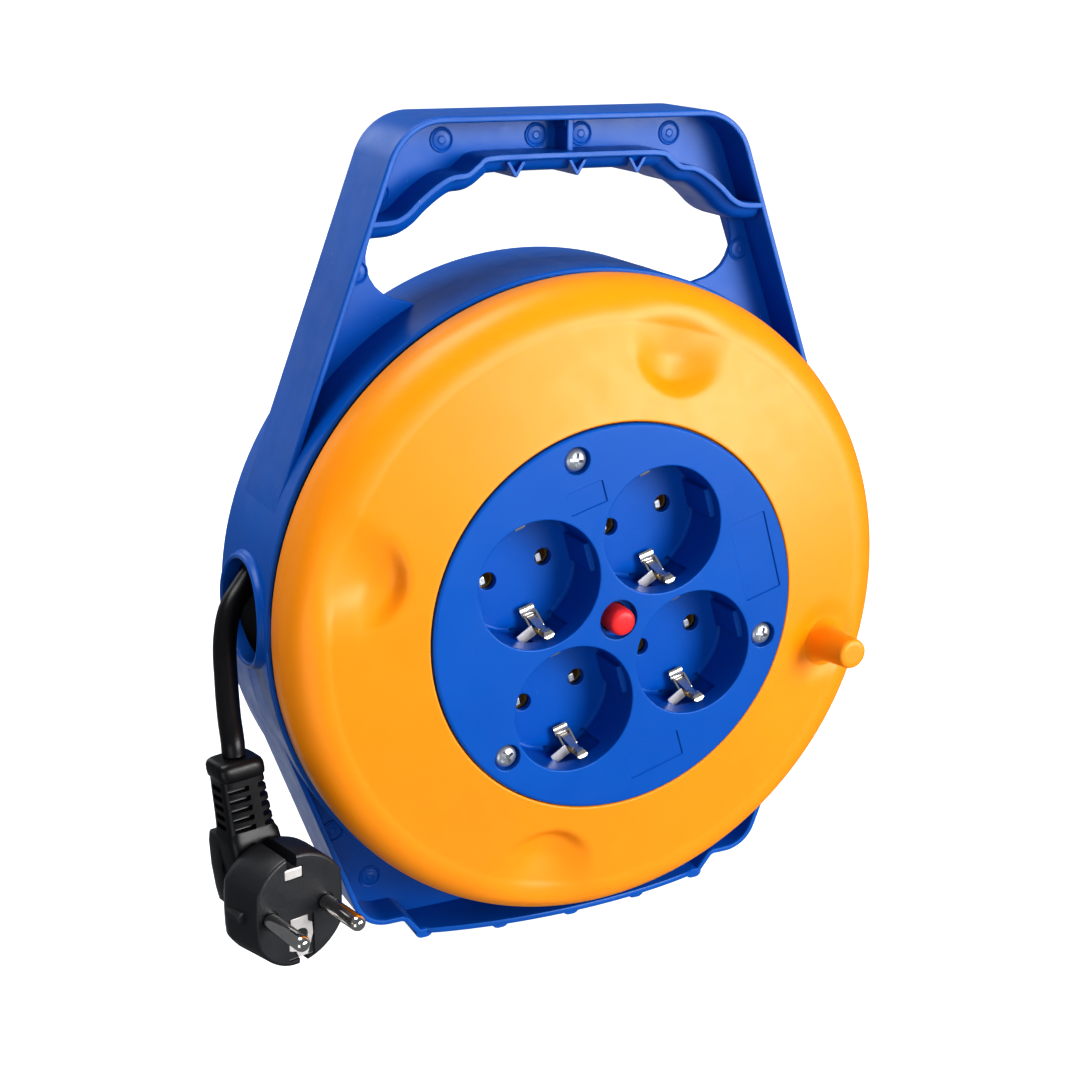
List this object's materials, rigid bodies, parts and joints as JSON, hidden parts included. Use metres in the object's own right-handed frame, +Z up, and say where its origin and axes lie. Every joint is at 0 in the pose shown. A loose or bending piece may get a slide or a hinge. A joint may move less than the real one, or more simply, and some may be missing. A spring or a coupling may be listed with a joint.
{
  "type": "extension cord reel",
  "caption": "Closed household cord reel: blue carrying casing, orange crank disc with a peg, earthed sockets, a reset button and a black cable ending in an angled plug.",
  "frame": {"origin": "on the floor, under the middle of the casing and peg", "axes": "+Z up, -Y out of the socket front, +X to the right seen from the front; the drum turns about Y"},
  "size_m": [0.2257, 0.087, 0.2583],
  "materials": {
    "casing_blue": "satin polypropylene, blue",
    "plate_blue": "satin moulded plastic, blue",
    "disc_orange": "satin polypropylene, orange",
    "button_red": "gloss red plastic",
    "cable_black": "matt black PVC sheath",
    "plug_black": "matt black moulded PVC",
    "core_grey": "dark grey plastic",
    "bush_white": "white engineering plastic",
    "steel_zinc": "zinc-plated steel",
    "nickel": "nickel-plated brass",
    "brass": "stamped brass",
    "lead_brown": "brown core insulation",
    "lead_blue": "blue core insulation",
    "lead_green": "green core insulation"
  },
  "bodies": {
    "casing_body": {"casing": "casing_blue", "hub_washer": "steel_zinc", "hub_screw": "steel_zinc", "cable_tail": "cable_black", "plug_body": "plug_black", "plug_pin_left": "nickel", "plug_pin_right": "nickel", "plug_earth_plate": "nickel", "plug_earth_tongue": "nickel"},
    "drum": {"hub_bush": "bush_white", "drum_core": "core_grey", "front_disc": "disc_orange", "socket_plate": "plate_blue", "plate_screw_1": "steel_zinc", "plate_screw_2": "steel_zinc", "plate_screw_3": "steel_zinc", "earth_clip_1": "nickel", "earth_clip_2": "nickel", "earth_clip_3": "nickel", "earth_clip_4": "nickel", "earth_bar": "brass", "busbar_live": "brass", "busbar_neutral": "brass", "contact_carrier": "bush_white", "cutout_body": "core_grey", "reset_spring": "steel_zinc", "cable_winding": "cable_black", "cable_inner_end": "cable_black", "cord_clamp_base": "bush_white", "cord_clamp_strap": "steel_zinc", "clamp_screw_1": "steel_zinc", "clamp_screw_2": "steel_zinc", "lead_live_in": "lead_brown", "lead_live_out": "lead_brown", "lead_neutral": "lead_blue", "lead_earth": "lead_green"},
    "button": {"reset_button": "button_red"}
  },
  "joints": [
    {"name": "drum_turn", "type": "hinge", "parent": "casing_body", "child": "drum", "pos_m": [0, -0.02975, 0.112], "axis": [0, -1, 0], "continuous": true},
    {"name": "button_press", "type": "slide", "parent": "drum", "child": "button", "axis": [0, 1, 0], "range_m": [0, 0.0025], "stiffness_N_per_m": 300, "springref_m": -0.001}
  ]
}
